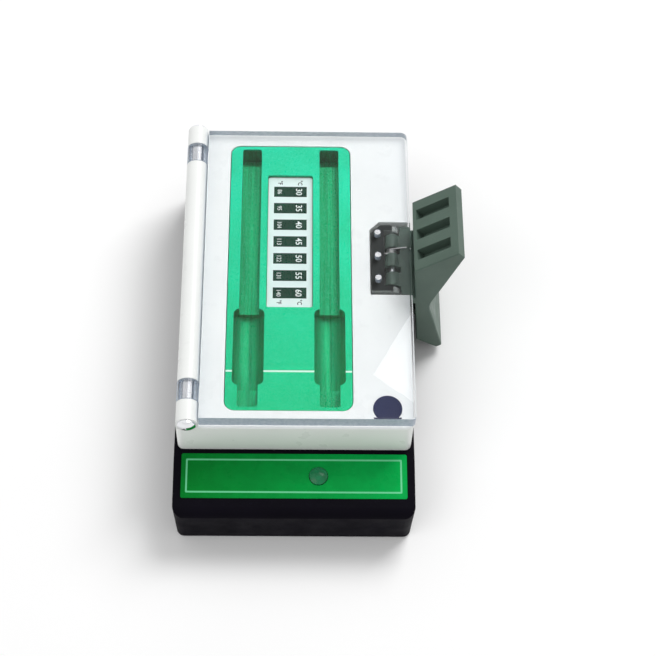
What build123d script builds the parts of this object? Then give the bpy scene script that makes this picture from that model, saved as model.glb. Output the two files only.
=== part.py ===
from build123d import *
import os
from math import atan2, cos, degrees, radians, sin, sqrt, tan

# Small bench incubator for test strips: a heated block in a white insulated
# housing with a hinged clear lid and a side latch, on a black base with a
# control shelf in front.
# Millimetres. Origin on the table, under the middle of the base.
# +X to the right (latch side), +Y to the back, +Z up.

os.makedirs("parts", exist_ok=True)

# Base housing
base_width = 96.4
base_depth = 169.0
base_bottom = 1.0
base_top = 25.9
base_corner = 4.0
base_draft = 2.0
base_wall = 2.6
shelf_drop = 2.5
nose_radius = 4.5
edge_break = 0.6

# Upper housing
shelf_length = 27.8
upper_side_inset = 1.4
upper_height = 18.7
upper_corner = 2.5
upper_back_gap = 0.6

# Heating block, its channels and its wells
block_width = 50.5
block_end_wall = 6.85
block_corner = 4.0
block_x = -2.45
block_gap = 0.3
channel_width = 8.1
channel_side_inset = 8.9
channel_depth = 5.0
channel_end_wall = 1.5
channel_corner = 1.0
lift_hole_length = 5.4
lift_hole_depth = 9.0
well_width = 12.5
well_length = 35.0
well_depth = 8.0
well_wall_height = 4.2
well_corner = 2.5
well_front_offset = 11.3
line_offset = 17.5
line_width = 0.8
line_depth = 0.2

# Thermometer strip
strip_side_wall = 3.0
strip_length = 64.6
strip_thickness = 0.6
strip_recess = 2.0
strip_gap = 0.25
strip_back_offset = 14.97
window_count = 7
window_side_inset = 2.4
window_length = 5.2
window_pitch = 8.33
window_thickness = 0.2

# Ledge that carries the block, and what lies below it
ledge_thickness = 3.0
ledge_side = 3.0
ledge_end = 9.0
heater_thickness = 1.2
heater_gap = 0.3
roof_window_width = 30.0
roof_window_length = 95.0

# Lid and hinge
lid_thickness = 6.5
lid_overhang = 0.6
lid_gap = 0.3
lid_front_setback = 1.2
lid_back_setback = 1.4
lid_back_corner = 3.0
lid_front_corner = 1.6
lid_edge_break = 0.5
barrel_radius = 4.35
barrel_inset = 0.3
hinge_drop = 3.3
hinge_pin_radius = 2.2
end_barrel_length = 8.9
knuckle_length = 9.2
knuckle_side_gap = 0.3
knuckle_sweep_gap = 0.5
lid_barrel_gap = 0.35
cap_radius = 3.7
cap_height = 2.3
cap_grip = 1.3

# Bumper under the lid's front right corner
bumper_radius = 5.7
bumper_depth = 3.0
bumper_side_inset = 10.9
bumper_front_inset = 6.6
bumper_lid_gap = 0.1
bumper_fit = 0.1

# Latch: the lever turns on a pin in a bracket under the lid
latch_y = 21.0
latch_width = 33.5
latch_lean = 4.4
latch_pin_inset = 7.4
latch_pin_drop = 10.5
latch_pin_radius = 1.5
hub_radius = 3.1
arm_top = 1.5
latch_face = 9.3
thumb_low = 22.2
thumb_angle = 34.2
thumb_length = 21.2
thumb_thickness = 4.2
neck_outer = 14.9
neck_height = -5.5
neck_blend = 14.0
foot_outer = 20.2
foot_tip_height = -38.6
foot_inner_height = -33.0
foot_toe_outer = 18.0
foot_toe_height = -40.2
foot_round = 1.5
lever_edge_break = 0.4
grip_count = 3
grip_start = 1.6
grip_length = 16.0
grip_width = 4.8
grip_pitch = 9.6
grip_depth = 5.0
nose_reach = 2.2
nose_height = -19.0
nose_ramp = 4.5
nose_width = 20.0
bracket_width = 32.0
bracket_left = 8.8
bracket_plate_right = 3.5
bracket_thickness = 3.0
bracket_ear = 2.5
bracket_chamfer = 4.0
ear_drop = 5.5
hub_end_gap = 1.3
hub_slot = 3.0
arm_clearance = 0.3
pocket_left_gap = 0.6
pocket_side_gap = 1.0
pocket_floor_gap = 2.5
catch_slack = 0.6
spring_wire = 0.3
spring_turns = 3
spring_pitch = 0.66
spring_fit = 0.2
spring_leg_rise = 2.75
spring_leg_reach = 6.0

# Label and start button on the shelf
label_side_inset = 3.2
label_depth = 18.6
label_thickness = 0.6
label_recess = 0.4
label_corner = 0.8
label_gap = 0.15
label_back_offset = 1.9
button_x = 9.65
button_radius = 3.65
button_dome = 1.0
button_hole_gap = 0.1
button_travel = 0.8
button_flange = 0.9
button_flange_thickness = 1.0
button_flange_gap = 0.15
button_stem_radius = 2.0
button_stem_length = 1.3
plunger_radius = 1.7
plunger_length = 1.5
switch_side = 6.0
switch_height = 3.5
switch_clearance = 0.1
panel_board_edge = 3.0
panel_board_depth = 13.0
panel_boss_radius = 2.4
panel_boss_spacing = 20.0

# Boards
board_thickness = 1.6
main_board_side_gap = 10.2
main_board_depth = 60.0
main_board_y = 10.0
main_board_rise = 4.8
main_boss_radius = 3.0
main_boss_inset = 4.0

# Base plate, feet and screws
plate_thickness = 2.5
plate_gap = 0.25
foot_radius = 5.0
foot_recess = 0.8
foot_inset_x = 19.5
foot_inset_y = 13.0
foot_fit = 0.1
corner_boss_radius = 3.6
corner_boss_inset_x = 7.6
corner_boss_inset_y = 8.6
screw_fit = 0.05
running_fit = 0.06
press_fit = 0.02
clearance_fit = 0.2
small_screw_radius = 1.0
medium_screw_radius = 1.25
large_screw_radius = 1.5
head_ratio = 1.9
head_height_ratio = 1.1
base_screw_length = 10.0
upper_screw_bite = 6.5
upper_screw_left_inset = 9.3
upper_screw_right_inset = 12.8
upper_screw_end_inset = 15.0
block_screw_length = 8.0
board_screw_length = 5.0
panel_screw_length = 5.0
bracket_screw_bite = 4.0
bracket_screw_spacing = 11.0
bracket_screw_count = 3

# Low-voltage inlet in the rear wall
inlet_board_inset = 12.0
inlet_z = 13.5
inlet_bore_radius = 2.8
inlet_bore_depth = 9.5
inlet_body_radius = 4.0
inlet_body_length = 14.0
inlet_flange_radius = 5.5
inlet_flange_thickness = 1.5
inlet_nut_width = 11.0
inlet_nut_thickness = 2.0
inlet_spot_depth = 0.8

# Sensor, fuse and leads
sensor_radius = 2.0
sensor_length = 8.0
sensor_flange = 0.7
sensor_flange_thickness = 1.2
sensor_y = 4.0
sensor_fit = 0.1
fuse_radius = 1.6
fuse_length = 11.0
fuse_lead_radius = 0.4
fuse_lead_length = 5.0
fuse_y = 36.0
fuse_gap = 0.6
lead_radius = 0.8
lead_spacing = 3.0
lead_bend = 2.4
lead_slot_gap = 0.8
heater_lead_gap = 6.0
wire_sides = 8
connector_width = 9.0
connector_depth = 7.0
connector_height = 6.0
connector_edge = 1.0
fuse_connector_y = 26.0
sensor_connector_y = 16.0
panel_connector_x = 14.0
lead_sag = 4.0
processor_side = 10.0
processor_height = 1.6
processor_inset = 16.0
capacitor_radius = 4.0
capacitor_height = 9.0
capacitor_inset = 6.0
capacitor_offset_y = 12.0
buzzer_radius = 6.0
buzzer_height = 5.5
buzzer_port_radius = 1.0
buzzer_port_depth = 1.5
buzzer_inset = 13.0
chip_row_offset_y = -4.0

# Places worked out from the sizes above
upper_width = base_width - 2 * upper_side_inset
upper_back = base_depth / 2 - upper_back_gap
upper_front = shelf_length - base_depth / 2
upper_depth = upper_back - upper_front
upper_y = (upper_back + upper_front) / 2
upper_top = base_top + upper_height
lid_bottom = upper_top + lid_gap
lid_top = lid_bottom + lid_thickness
lid_front = upper_front + lid_front_setback
lid_back = upper_back - lid_back_setback
lid_depth = lid_back - lid_front
lid_right = upper_width / 2 + lid_overhang
hinge_x = -upper_width / 2 + barrel_inset + barrel_radius
hinge_z = lid_top - hinge_drop
lid_left = hinge_x + barrel_radius + lid_barrel_gap
block_y = upper_y
block_length = upper_depth - 2 * block_end_wall
block_top = upper_top - block_gap
block_bottom = base_top + ledge_thickness
block_height = block_top - block_bottom
block_front = block_y - block_length / 2
channel_pitch = block_width - 2 * channel_side_inset
strip_width = channel_pitch - channel_width - 2 * strip_side_wall
window_width = strip_width - 2 * window_side_inset
strip_y = block_y + (block_length - strip_length) / 2 - strip_back_offset
ledge_opening_width = block_width - 2 * ledge_side
ledge_opening_length = block_length - 2 * ledge_end
channel_xs = (block_x - channel_pitch / 2, block_x + channel_pitch / 2)
shelf_run = upper_front + base_depth / 2 - nose_radius
shelf_angle = degrees(atan2(shelf_drop, shelf_run))
latch_pin_x = lid_right - latch_pin_inset
latch_pin_z = lid_top - latch_pin_drop
main_board_width = base_width - 2 * main_board_side_gap
board_left = -main_board_width / 2
board_front = main_board_y - main_board_depth / 2
board_back = main_board_y + main_board_depth / 2
chip_row_y = main_board_y + chip_row_offset_y
inlet_x = board_left + inlet_board_inset
heater_lead_y = board_front - heater_lead_gap
label_width = base_width - 2 * label_side_inset
bumper_x = lid_right - bumper_side_inset
bumper_y = lid_front + bumper_front_inset
front_knuckle = upper_front + end_barrel_length + knuckle_length / 2
back_knuckle = upper_back - end_barrel_length - knuckle_length / 2


def shelf_height(y):
    """Height of the shelf's surface at a distance y from the middle."""
    return base_top - (upper_front - y) * tan(radians(shelf_angle))


def shelf_plane(x, y):
    """Plane on the shelf's surface, its Z pointing out of the shelf."""
    slope = radians(shelf_angle)
    return Plane(origin=(x, y, shelf_height(y)), x_dir=(1, 0, 0), z_dir=(0, -sin(slope), cos(slope)))


def front_plane(y, x=0.0, z=0.0, lean=0.0):
    """Upright plane facing the front, turned by lean degrees."""
    turn = radians(lean)
    return Plane(origin=(x, y, z), x_dir=(cos(turn), 0, sin(turn)), z_dir=(0, -1, 0))


def base_form(inset, rim=0.0):
    """Outer shape of the base with a rounded rim, or its cavity when inset is the wall."""
    top = base_top - inset
    front = -base_depth / 2 + inset
    back = base_depth / 2 - inset
    nose_top = shelf_height(front) - inset
    drop = 0 if inset == 0 else base_wall
    corner = max(base_corner - inset, edge_break)
    with BuildPart() as form:
        with BuildSketch(Plane(origin=(0, 0, top), x_dir=(1, 0, 0), z_dir=(0, 0, -1))):
            RectangleRounded(base_width - 2 * inset, base_depth - 2 * inset, corner)
        extrude(amount=top - base_bottom + drop, taper=base_draft)
        if rim:
            fillet(faces().sort_by(Axis.Z)[-1].edges(), rim)
        with BuildSketch(Plane.YZ):
            with BuildLine():
                Polyline(
                    (front, base_bottom - drop),
                    (back, base_bottom - drop),
                    (back, top),
                    (upper_front, top),
                    (front, nose_top),
                    close=True,
                )
            make_face()
            nose = vertices().sort_by_distance((front, nose_top))[0]
            fillet(nose, nose_radius - inset)
        extrude(amount=base_width, both=True, mode=Mode.INTERSECT)
    return form.part


def screw(radius, length):
    """Round-headed screw along +Z, its head's seat at zero."""
    with BuildPart() as fastener:
        with BuildSketch(Plane.XY):
            Circle(radius)
        extrude(amount=length)
        with BuildSketch(Plane.XY):
            Circle(radius * head_ratio)
        extrude(amount=-radius * head_height_ratio)
        top_edge = fastener.edges().filter_by(GeomType.CIRCLE).sort_by(Axis.Z)[0]
        chamfer(top_edge, radius * head_height_ratio / 2)
    return fastener.part


def lead(points):
    """Insulated wire along straight runs joined by bends, drawn with flats to stay light."""
    with BuildPart() as wire:
        with BuildLine() as route:
            FilletPolyline(*points, radius=lead_bend)
        with BuildSketch(Plane(origin=route.line @ 0, z_dir=route.line % 0)):
            RegularPolygon(lead_radius, wire_sides)
        sweep()
    return wire.part


# Base housing: black shell with the sloping shelf and its rounded nose
base_outer = base_form(0, edge_break)
base_cavity = base_form(base_wall)
base_half_depth = base_depth / 2
corner_boss_x = base_width / 2 - corner_boss_inset_x
corner_boss_y = base_half_depth - corner_boss_inset_y
corner_bosses = [(x, y) for x in (-corner_boss_x, corner_boss_x) for y in (-corner_boss_y, corner_boss_y)]
plate_top = base_bottom + plate_thickness
upper_screw_xs = (upper_screw_left_inset - upper_width / 2, upper_width / 2 - upper_screw_right_inset)
upper_screw_ys = (upper_front + upper_screw_end_inset, upper_back - upper_screw_end_inset)
upper_screws_at = [(x, y) for x in upper_screw_xs for y in upper_screw_ys]
label_y = upper_front - label_back_offset - label_depth / 2
button_plane = shelf_plane(button_x, label_y)
label_plane = shelf_plane(0, label_y)
label_proud = label_thickness - label_recess
flange_top = -base_wall - button_flange_gap
flange_bottom = flange_top - button_flange_thickness
stem_bottom = flange_bottom - button_stem_length
switch_top = stem_bottom - button_travel - switch_clearance
panel_board_top = switch_top - switch_height
panel_bosses = [(-panel_boss_spacing / 2, 0), (panel_boss_spacing / 2, 0)]
panel_board_width = panel_boss_spacing + 2 * panel_board_edge
inlet_wall = base_half_depth - inlet_spot_depth
catch_outer = base_width / 2 + edge_break
catch_inner = latch_pin_x + latch_face - nose_reach - catch_slack
catch_z = latch_pin_z + nose_height

with BuildPart() as base_housing:
    add(base_outer)
    add(base_cavity, mode=Mode.SUBTRACT)
    for boss_x, boss_y in corner_bosses:
        boss_top = min(base_top, shelf_height(boss_y)) - base_wall / 2
        with BuildSketch(Plane.XY.offset(plate_top)):
            with Locations((boss_x, boss_y)):
                Circle(corner_boss_radius)
        extrude(amount=boss_top - plate_top)
        with BuildSketch(Plane.XY.offset(plate_top)):
            with Locations((boss_x, boss_y)):
                Circle(large_screw_radius + screw_fit)
        extrude(amount=base_screw_length, mode=Mode.SUBTRACT)
    with BuildSketch(Plane.XY.offset(base_top)):
        with Locations((block_x, block_y)):
            Rectangle(roof_window_width, roof_window_length)
        with Locations(*upper_screws_at):
            Circle(large_screw_radius + screw_fit)
    extrude(amount=-2 * base_wall, mode=Mode.SUBTRACT)
    with BuildSketch(label_plane):
        RectangleRounded(label_width + 2 * label_gap, label_depth + 2 * label_gap, label_corner)
    extrude(amount=-label_recess, mode=Mode.SUBTRACT)
    with BuildSketch(button_plane):
        Circle(button_radius + button_hole_gap)
    extrude(amount=-2 * base_wall, mode=Mode.SUBTRACT)
    with BuildSketch(button_plane.offset(-base_wall / 2)):
        with Locations(*panel_bosses):
            Circle(panel_boss_radius)
    extrude(amount=panel_board_top + base_wall / 2)
    with BuildSketch(button_plane.offset(panel_board_top)):
        with Locations(*panel_bosses):
            Circle(small_screw_radius + screw_fit)
    extrude(amount=panel_screw_length, mode=Mode.SUBTRACT)
    with BuildSketch(front_plane(base_half_depth, inlet_x, inlet_z)):
        Circle(inlet_body_radius + clearance_fit)
    extrude(amount=2 * base_wall, mode=Mode.SUBTRACT)
    with BuildSketch(front_plane(base_half_depth, inlet_x, inlet_z)):
        Circle(inlet_flange_radius + clearance_fit)
    extrude(amount=inlet_spot_depth, mode=Mode.SUBTRACT)
    with BuildSketch(Plane.XY.offset(catch_z - 2 * base_wall)):
        with Locations((catch_inner - base_wall / 2, latch_y)):
            Rectangle(2 * base_wall, nose_width + 2 * base_wall)
    extrude(until=Until.NEXT)
    with BuildSketch(front_plane(latch_y)):
        with BuildLine():
            Polyline(
                (catch_outer, catch_z + nose_reach / 2),
                (catch_inner, catch_z + clearance_fit),
                (catch_inner, catch_z - nose_ramp),
                (catch_outer, catch_z - nose_ramp - nose_reach),
                close=True,
            )
        make_face()
    extrude(amount=nose_width / 2 + clearance_fit * 2, both=True, mode=Mode.SUBTRACT)
base_housing.part.label = "base_housing"
export_step(base_housing.part, "parts/base_housing.step")

# Base plate: closes the underside and carries the main board
plate_shrink = (base_top - base_wall - base_bottom) * tan(radians(base_draft))
plate_width = base_width - 2 * (base_wall + plate_shrink + plate_gap)
plate_depth = base_depth - 2 * (base_wall + plate_shrink + plate_gap)
feet_at = [
    (x, y)
    for x in (-base_width / 2 + foot_inset_x, base_width / 2 - foot_inset_x)
    for y in (-base_half_depth + foot_inset_y, base_half_depth - foot_inset_y)
]
board_hole_x = main_board_width / 2 - main_boss_inset
board_hole_y = main_board_depth / 2 - main_boss_inset
board_holes = [
    (x, main_board_y + y)
    for x in (-board_hole_x, board_hole_x)
    for y in (-board_hole_y, board_hole_y)
]
board_bottom = plate_top + main_board_rise
board_top = board_bottom + board_thickness
head_height = large_screw_radius * head_height_ratio

with BuildPart() as base_plate:
    with BuildSketch(Plane.XY.offset(base_bottom)):
        RectangleRounded(plate_width, plate_depth, base_corner - base_wall)
    extrude(amount=plate_thickness)
    with BuildSketch(Plane.XY.offset(plate_top)):
        with Locations(*board_holes):
            Circle(main_boss_radius)
    extrude(amount=main_board_rise)
    with BuildSketch(Plane.XY.offset(board_bottom)):
        with Locations(*board_holes):
            Circle(medium_screw_radius + screw_fit)
    extrude(amount=-board_screw_length, mode=Mode.SUBTRACT)
    with BuildSketch(Plane.XY.offset(base_bottom)):
        with Locations(*feet_at):
            Circle(foot_radius + foot_fit)
    extrude(amount=foot_recess, mode=Mode.SUBTRACT)
    with BuildSketch(Plane.XY.offset(base_bottom)):
        with Locations(*corner_bosses):
            Circle(large_screw_radius + clearance_fit)
    extrude(amount=plate_thickness, mode=Mode.SUBTRACT)
    with BuildSketch(Plane.XY.offset(base_bottom)):
        with Locations(*corner_bosses):
            Circle(large_screw_radius * head_ratio + clearance_fit)
    extrude(amount=head_height + foot_fit, mode=Mode.SUBTRACT)
base_plate.part.label = "base_plate"
export_step(base_plate.part, "parts/base_plate.step")

# Screws that hold the base plate, their heads sunk in it
plate_screw = screw(large_screw_radius, base_screw_length - foot_recess)
with BuildPart() as base_screws:
    with Locations(*[(x, y, base_bottom + head_height + foot_fit) for x, y in corner_bosses]):
        add(plate_screw)
base_screws.part.label = "base_screws"
export_step(base_screws.part, "parts/base_screws.step")

# Rubber feet, pressed into shallow seats in the plate
with BuildPart() as rubber_feet:
    with BuildSketch(Plane.XY):
        with Locations(*feet_at):
            Circle(foot_radius)
    extrude(amount=base_bottom + foot_recess)
    chamfer(rubber_feet.edges().filter_by(GeomType.CIRCLE).group_by(Axis.Z)[0], foot_recess / 2)
rubber_feet.part.label = "rubber_feet"
export_step(rubber_feet.part, "parts/rubber_feet.step")

# Label panel, glued into the recess in the shelf, bare of lettering
with BuildPart() as label_panel:
    with BuildSketch(label_plane.offset(-label_recess)):
        RectangleRounded(label_width, label_depth, label_corner)
        with Locations((button_x, 0)):
            Circle(button_radius + 2 * button_hole_gap, mode=Mode.SUBTRACT)
    extrude(amount=label_thickness)
label_panel.part.label = "label_panel"
export_step(label_panel.part, "parts/label_panel.step")

# Start button: a translucent dome with a flange under the shelf and a stem
button_rim = label_proud + button_travel / 2
dome_radius = (button_radius**2 + button_dome**2) / (2 * button_dome)
dome_mid_angle = atan2(button_radius, dome_radius - button_dome) / 2
dome_mid_x = dome_radius * sin(dome_mid_angle)
dome_mid_z = button_rim + button_dome - dome_radius * (1 - cos(dome_mid_angle))
button_upright = Plane(origin=button_plane.origin, x_dir=(1, 0, 0), z_dir=-button_plane.y_dir)

with BuildPart() as start_button:
    with BuildSketch(button_upright):
        with BuildLine():
            Polyline(
                (0, button_rim + button_dome),
                (0, stem_bottom),
                (button_stem_radius, stem_bottom),
                (button_stem_radius, flange_bottom),
                (button_radius + button_flange, flange_bottom),
                (button_radius + button_flange, flange_top),
                (button_radius, flange_top),
                (button_radius, button_rim),
            )
            ThreePointArc(
                (button_radius, button_rim),
                (dome_mid_x, dome_mid_z),
                (0, button_rim + button_dome),
            )
        make_face()
    revolve(axis=Axis(button_plane.origin, button_plane.z_dir))
start_button.part.label = "start_button"
export_step(start_button.part, "parts/start_button.step")

# Plunger of the button's switch, pushed by the stem
with BuildPart() as switch_plunger:
    with BuildSketch(button_plane.offset(stem_bottom)):
        Circle(plunger_radius)
    extrude(amount=-plunger_length)
switch_plunger.part.label = "switch_plunger"
export_step(switch_plunger.part, "parts/switch_plunger.step")

# Switch body on the panel board, bored for the plunger's travel
switch_bore_depth = plunger_length - switch_clearance + clearance_fit
with BuildPart() as button_switch:
    with BuildSketch(button_plane.offset(switch_top)):
        RectangleRounded(switch_side, switch_side, button_dome)
    extrude(amount=-switch_height)
    with BuildSketch(button_plane.offset(switch_top)):
        Circle(plunger_radius + screw_fit)
    extrude(amount=-switch_bore_depth, mode=Mode.SUBTRACT)
button_switch.part.label = "button_switch"
export_step(button_switch.part, "parts/button_switch.step")

# Panel board under the shelf
with BuildPart() as panel_board:
    with BuildSketch(button_plane.offset(panel_board_top)):
        RectangleRounded(panel_board_width, panel_board_depth, label_corner)
        with Locations(*panel_bosses):
            Circle(small_screw_radius + clearance_fit, mode=Mode.SUBTRACT)
    extrude(amount=-board_thickness)
panel_board.part.label = "panel_board"
export_step(panel_board.part, "parts/panel_board.step")

# Screws of the panel board, driven up into the shelf's bosses
panel_screw = screw(small_screw_radius, panel_screw_length)
panel_screw_plane = button_plane.offset(panel_board_top - board_thickness)
with BuildPart() as panel_screws:
    with Locations(panel_screw_plane):
        with Locations(*panel_bosses):
            add(panel_screw)
panel_screws.part.label = "panel_screws"
export_step(panel_screws.part, "parts/panel_screws.step")

# Upper housing: white insulating body with the block's well, the hinge
# barrels, the latch pocket and the bumper's seat
barrel_spans = [
    (upper_front, front_knuckle - knuckle_length / 2),
    (front_knuckle + knuckle_length / 2, back_knuckle - knuckle_length / 2),
    (back_knuckle + knuckle_length / 2, upper_back),
]
knuckle_mids = (front_knuckle, back_knuckle)
opening_width = block_width + 2 * block_gap
opening_length = block_length + 2 * block_gap
pocket_left = latch_pin_x - bracket_left - pocket_left_gap
pocket_floor = latch_pin_z - hub_radius - pocket_floor_gap
pocket_length = latch_width + 2 * pocket_side_gap
block_screw_y = block_length / 2 - ledge_end / 2
block_screws_at = [(block_x, block_y - block_screw_y), (block_x, block_y + block_screw_y)]

with BuildPart() as upper_housing:
    with BuildSketch(Plane.XY.offset(base_top)):
        with Locations((0, upper_y)):
            RectangleRounded(upper_width, upper_depth, upper_corner)
    extrude(amount=upper_height)
    fillet(edges().filter_by(Plane.XY).group_by(Axis.Z)[-1], edge_break)
    for span_front, span_back in barrel_spans:
        with BuildSketch(front_plane(span_front, hinge_x, hinge_z)):
            Circle(barrel_radius)
            with Locations((0, (upper_top - edge_break * 2 - hinge_z) / 2)):
                Rectangle(2 * barrel_radius, hinge_z - upper_top + edge_break * 2)
        extrude(amount=span_front - span_back)
    for knuckle_mid in knuckle_mids:
        with BuildSketch(front_plane(knuckle_mid - knuckle_length / 2, hinge_x, hinge_z)):
            Circle(barrel_radius + knuckle_sweep_gap)
        extrude(amount=-knuckle_length, mode=Mode.SUBTRACT)
    with BuildSketch(front_plane(upper_front, hinge_x, hinge_z)):
        Circle(hinge_pin_radius + screw_fit)
    extrude(amount=-upper_depth, mode=Mode.SUBTRACT)
    with BuildSketch(Plane.XY.offset(upper_top)):
        with Locations((block_x, block_y)):
            RectangleRounded(opening_width, opening_length, block_corner + block_gap)
    extrude(amount=block_bottom - upper_top, mode=Mode.SUBTRACT)
    with BuildSketch(Plane.XY.offset(block_bottom)):
        with Locations((block_x, block_y)):
            RectangleRounded(ledge_opening_width, ledge_opening_length, block_corner / 2)
        with Locations(*block_screws_at):
            Circle(large_screw_radius + clearance_fit)
    extrude(amount=-ledge_thickness, mode=Mode.SUBTRACT)
    with BuildSketch(Plane.XY.offset(base_top)):
        with Locations(*block_screws_at):
            Circle(large_screw_radius * head_ratio + clearance_fit)
    extrude(amount=head_height + clearance_fit, mode=Mode.SUBTRACT)
    with BuildSketch(Plane.XY.offset(base_top)):
        with Locations(*upper_screws_at):
            Circle(large_screw_radius + screw_fit)
    extrude(amount=upper_screw_bite + clearance_fit, mode=Mode.SUBTRACT)
    with BuildSketch(Plane.XY.offset(upper_top)):
        with Locations((bumper_x, bumper_y)):
            Circle(bumper_radius + bumper_fit)
    extrude(amount=-bumper_depth, mode=Mode.SUBTRACT)
    with BuildSketch(Plane.XY.offset(upper_top)):
        with Locations(((pocket_left + upper_width) / 2, latch_y)):
            Rectangle(upper_width - pocket_left, pocket_length)
        pocket_corner = vertices().sort_by_distance((pocket_left, latch_y + pocket_length / 2))[0]
        chamfer(pocket_corner, bracket_chamfer)
    extrude(amount=pocket_floor - upper_top, mode=Mode.SUBTRACT)
upper_housing.part.label = "upper_housing"
export_step(upper_housing.part, "parts/upper_housing.step")

# Screws that hold the upper housing, driven up through the base's roof
upper_screw = screw(large_screw_radius, base_wall + upper_screw_bite)
with BuildPart() as upper_screws:
    with Locations(*[(x, y, base_top - base_wall) for x, y in upper_screws_at]):
        add(upper_screw)
upper_screws.part.label = "upper_screws"
export_step(upper_screws.part, "parts/upper_screws.step")

# Heating block: two strip channels that widen into round-bottomed wells
well_front = block_front + well_front_offset
well_y = well_front + well_length / 2
channel_front = block_front + channel_end_wall
channel_length = block_length - 2 * channel_end_wall
channel_back = channel_front + channel_length
line_y = block_front + line_offset
strip_recess_width = strip_width + 2 * strip_gap
strip_recess_length = strip_length + 2 * strip_gap

with BuildPart() as well_form:
    with BuildSketch(Plane.XY.offset(block_top)):
        with Locations((0, well_y)):
            RectangleRounded(well_width, well_length, well_corner)
    extrude(amount=-well_depth)
    with BuildSketch(front_plane(well_y, 0, block_top)):
        with BuildLine():
            Polyline(
                (-well_width / 2, -well_wall_height),
                (-well_width / 2, 0),
                (well_width / 2, 0),
                (well_width / 2, -well_wall_height),
            )
            ThreePointArc(
                (well_width / 2, -well_wall_height),
                (0, -well_depth),
                (-well_width / 2, -well_wall_height),
            )
        make_face()
    extrude(amount=well_length, both=True, mode=Mode.INTERSECT)

with BuildPart() as heating_block:
    with BuildSketch(Plane.XY.offset(block_bottom)):
        with Locations((block_x, block_y)):
            RectangleRounded(block_width, block_length, block_corner)
    extrude(amount=block_height)
    with BuildSketch(Plane.XY.offset(block_top)):
        with Locations(*[(x, (channel_front + channel_back) / 2) for x in channel_xs]):
            RectangleRounded(channel_width, channel_length, channel_corner)
    extrude(amount=-channel_depth, mode=Mode.SUBTRACT)
    with BuildSketch(Plane.XY.offset(block_top)):
        with Locations(*[(x, channel_back - lift_hole_length / 2) for x in channel_xs]):
            RectangleRounded(channel_width, lift_hole_length, channel_corner)
    extrude(amount=-lift_hole_depth, mode=Mode.SUBTRACT)
    with Locations(*[(x, 0) for x in channel_xs]):
        add(well_form.part, mode=Mode.SUBTRACT)
    with BuildSketch(Plane.XY.offset(block_top)):
        with Locations((block_x, strip_y)):
            RectangleRounded(strip_recess_width, strip_recess_length, channel_corner)
    extrude(amount=-strip_recess, mode=Mode.SUBTRACT)
    with BuildSketch(Plane.XY.offset(block_top)):
        with Locations((block_x, line_y)):
            Rectangle(block_width, line_width)
    extrude(amount=-line_depth, mode=Mode.SUBTRACT)
    with BuildSketch(Plane.XY.offset(block_bottom)):
        with Locations((block_x, sensor_y)):
            Circle(sensor_radius + sensor_fit)
        with Locations(*block_screws_at):
            Circle(large_screw_radius + screw_fit)
    extrude(amount=sensor_length, mode=Mode.SUBTRACT)
heating_block.part.label = "heating_block"
export_step(heating_block.part, "parts/heating_block.step")

# White filling of the engraved line, broken by the two wells
with BuildPart() as line_filling:
    with BuildSketch(Plane.XY.offset(block_top)):
        with Locations((block_x, line_y)):
            Rectangle(block_width, line_width)
        with Locations(*[(x, line_y) for x in channel_xs]):
            Rectangle(well_width, line_width, mode=Mode.SUBTRACT)
    extrude(amount=-line_depth)
line_filling.part.label = "line_filling"
export_step(line_filling.part, "parts/line_filling.step")

# Thermometer strip and its liquid-crystal windows, one above the other
strip_bottom = block_top - strip_recess
strip_top = strip_bottom + strip_thickness
window_rows = [strip_y + (row - (window_count - 1) / 2) * window_pitch for row in range(window_count)]

with BuildPart() as thermometer_strip:
    with BuildSketch(Plane.XY.offset(strip_bottom)):
        with Locations((block_x, strip_y)):
            RectangleRounded(strip_width, strip_length, channel_corner)
    extrude(amount=strip_thickness)
    with BuildSketch(Plane.XY.offset(strip_top)):
        with Locations(*[(block_x, y) for y in window_rows]):
            Rectangle(window_width, window_length)
    extrude(amount=-window_thickness, mode=Mode.SUBTRACT)
thermometer_strip.part.label = "thermometer_strip"
export_step(thermometer_strip.part, "parts/thermometer_strip.step")

with BuildPart() as thermometer_windows:
    with BuildSketch(Plane.XY.offset(strip_top)):
        with Locations(*[(block_x, y) for y in window_rows]):
            Rectangle(window_width, window_length)
    extrude(amount=-window_thickness)
thermometer_windows.part.label = "thermometer_windows"
export_step(thermometer_windows.part, "parts/thermometer_windows.step")

# Screws that hold the block on the ledge
block_screw = screw(large_screw_radius, block_screw_length)
with BuildPart() as block_screws:
    with Locations(*[(x, y, base_top + head_height + clearance_fit) for x, y in block_screws_at]):
        add(block_screw)
block_screws.part.label = "block_screws"
export_step(block_screws.part, "parts/block_screws.step")

# Flat heater glued under the block, inside the ledge
heater_bottom = block_bottom - heater_thickness
heater_width = ledge_opening_width - 2 * heater_gap
heater_length = ledge_opening_length - 2 * heater_gap
sensor_flange_radius = sensor_radius + sensor_flange
with BuildPart() as flat_heater:
    with BuildSketch(Plane.XY.offset(heater_bottom)):
        with Locations((block_x, block_y)):
            RectangleRounded(heater_width, heater_length, channel_corner)
        with Locations((block_x, sensor_y)):
            Circle(sensor_flange_radius + clearance_fit, mode=Mode.SUBTRACT)
    extrude(amount=heater_thickness)
flat_heater.part.label = "flat_heater"
export_step(flat_heater.part, "parts/flat_heater.step")

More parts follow.
